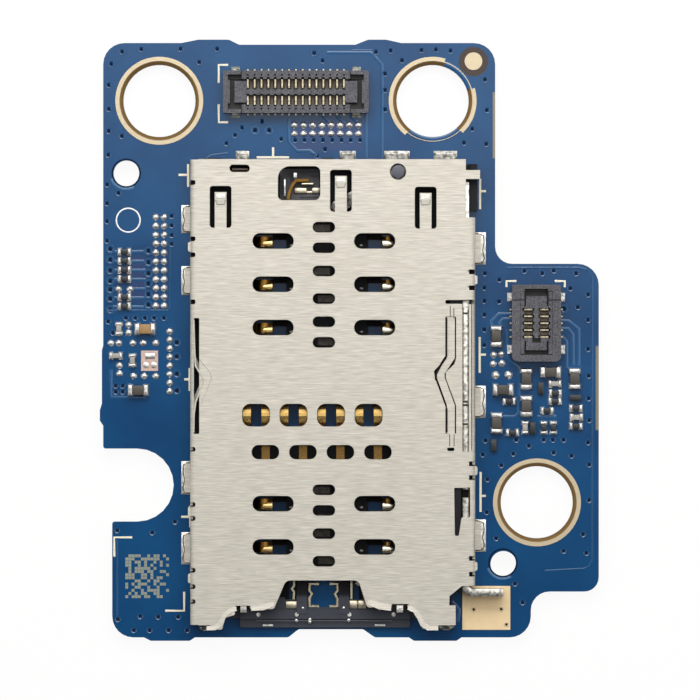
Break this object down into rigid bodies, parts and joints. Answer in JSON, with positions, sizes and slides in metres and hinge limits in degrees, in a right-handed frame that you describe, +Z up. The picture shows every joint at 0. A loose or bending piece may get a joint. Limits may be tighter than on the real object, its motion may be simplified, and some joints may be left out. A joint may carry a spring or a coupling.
{
  "type": "sim card socket",
  "caption": "Card tray socket with a folded steel shell, sprung gold contacts and a push-rod ejector, soldered to a small circuit board with board connectors and plated mount holes.",
  "frame": {"origin": "middle of the board's outline box, on the board's underside", "axes": "+X to the right of the tray mouth seen from above, +Y from the mouth to the back of the socket, +Z up off the components"},
  "size_m": [0.0294, 0.0354, 0.0023],
  "materials": {
    "solder_mask": "glossy blue solder mask on glass-fibre laminate",
    "gold_plating": "soft gold plating, slightly matt",
    "solder_tin": "bright reflowed solder and tinned metal",
    "bare_copper": "bare copper land",
    "socket_plastic": "moulded black, faint sheen",
    "shell_steel": "rolled stainless sheet with a fine grain across the width",
    "ejector_steel": "plain stainless strip",
    "contact_gold": "gold-plated spring strip",
    "connector_plastic": "charcoal moulding",
    "chip_grey": "fired ceramic, grey-brown",
    "chip_black": "black coated ceramic",
    "chip_tan": "fired ceramic, tan"
  },
  "bodies": {
    "board_assembly": {"board": "solder_mask", "mount_ring_upper_left": "gold_plating", "mount_ring_upper_right": "gold_plating", "mount_ring_lower_right": "gold_plating", "ground_pad": "gold_plating", "fiducial_dot": "gold_plating", "solder_lands": "solder_tin", "solder_domes": "solder_tin", "carrier_stubs": "solder_tin", "chip_end_caps": "solder_tin", "main_anchors": "solder_tin", "small_anchors": "solder_tin", "copper_land": "bare_copper", "socket_base": "socket_plastic", "left_rail": "socket_plastic", "right_rail": "socket_plastic", "back_wall": "socket_plastic", "rod_guide": "socket_plastic", "pivot_post": "socket_plastic", "shell_roof": "shell_steel", "shell_left_side": "shell_steel", "shell_right_side": "shell_steel", "shell_back_feet": "shell_steel", "right_leaf_spring": "shell_steel", "detect_posts": "ejector_steel", "detect_spring": "contact_gold", "detect_plate": "contact_gold", "upper_sim_contact_1": "contact_gold", "upper_sim_contact_2": "contact_gold", "upper_sim_contact_3": "contact_gold", "upper_sim_contact_4": "contact_gold", "upper_sim_contact_5": "contact_gold", "upper_sim_contact_6": "contact_gold", "memory_contact_1": "contact_gold", "memory_contact_2": "contact_gold", "memory_contact_3": "contact_gold", "memory_contact_4": "contact_gold", "memory_contact_5": "contact_gold", "memory_contact_6": "contact_gold", "memory_contact_7": "contact_gold", "memory_contact_8": "contact_gold", "lower_sim_contact_1": "contact_gold", "lower_sim_contact_2": "contact_gold", "lower_sim_contact_3": "contact_gold", "lower_sim_contact_4": "contact_gold", "lower_sim_contact_5": "contact_gold", "lower_sim_contact_6": "contact_gold", "main_contacts_rear": "contact_gold", "main_contacts_front": "contact_gold", "small_contacts_left": "contact_gold", "small_contacts_right": "contact_gold", "main_housing": "connector_plastic", "small_housing": "connector_plastic", "large_chip_bodies": "chip_grey", "small_chip_bodies": "chip_black", "bare_chips": "chip_black", "tan_chip_bodies": "chip_tan"},
    "push_rod": {"eject_rod": "ejector_steel"},
    "lever": {"eject_lever": "ejector_steel"}
  },
  "joints": [
    {"name": "rod_slide", "type": "slide", "parent": "board_assembly", "child": "push_rod", "axis": [0, 1, 0], "range_m": [-0.00156, 0]},
    {"name": "lever_pivot", "type": "hinge", "parent": "board_assembly", "child": "lever", "pos_m": [0.00286, 0.00989, 0.00117], "axis": [0, 0, 1], "range_deg": [-26, 0]}
  ],
  "couplings": [
    {"joint": "lever_pivot", "follows": "rod_slide", "rad_per_m": 290.66}
  ]
}
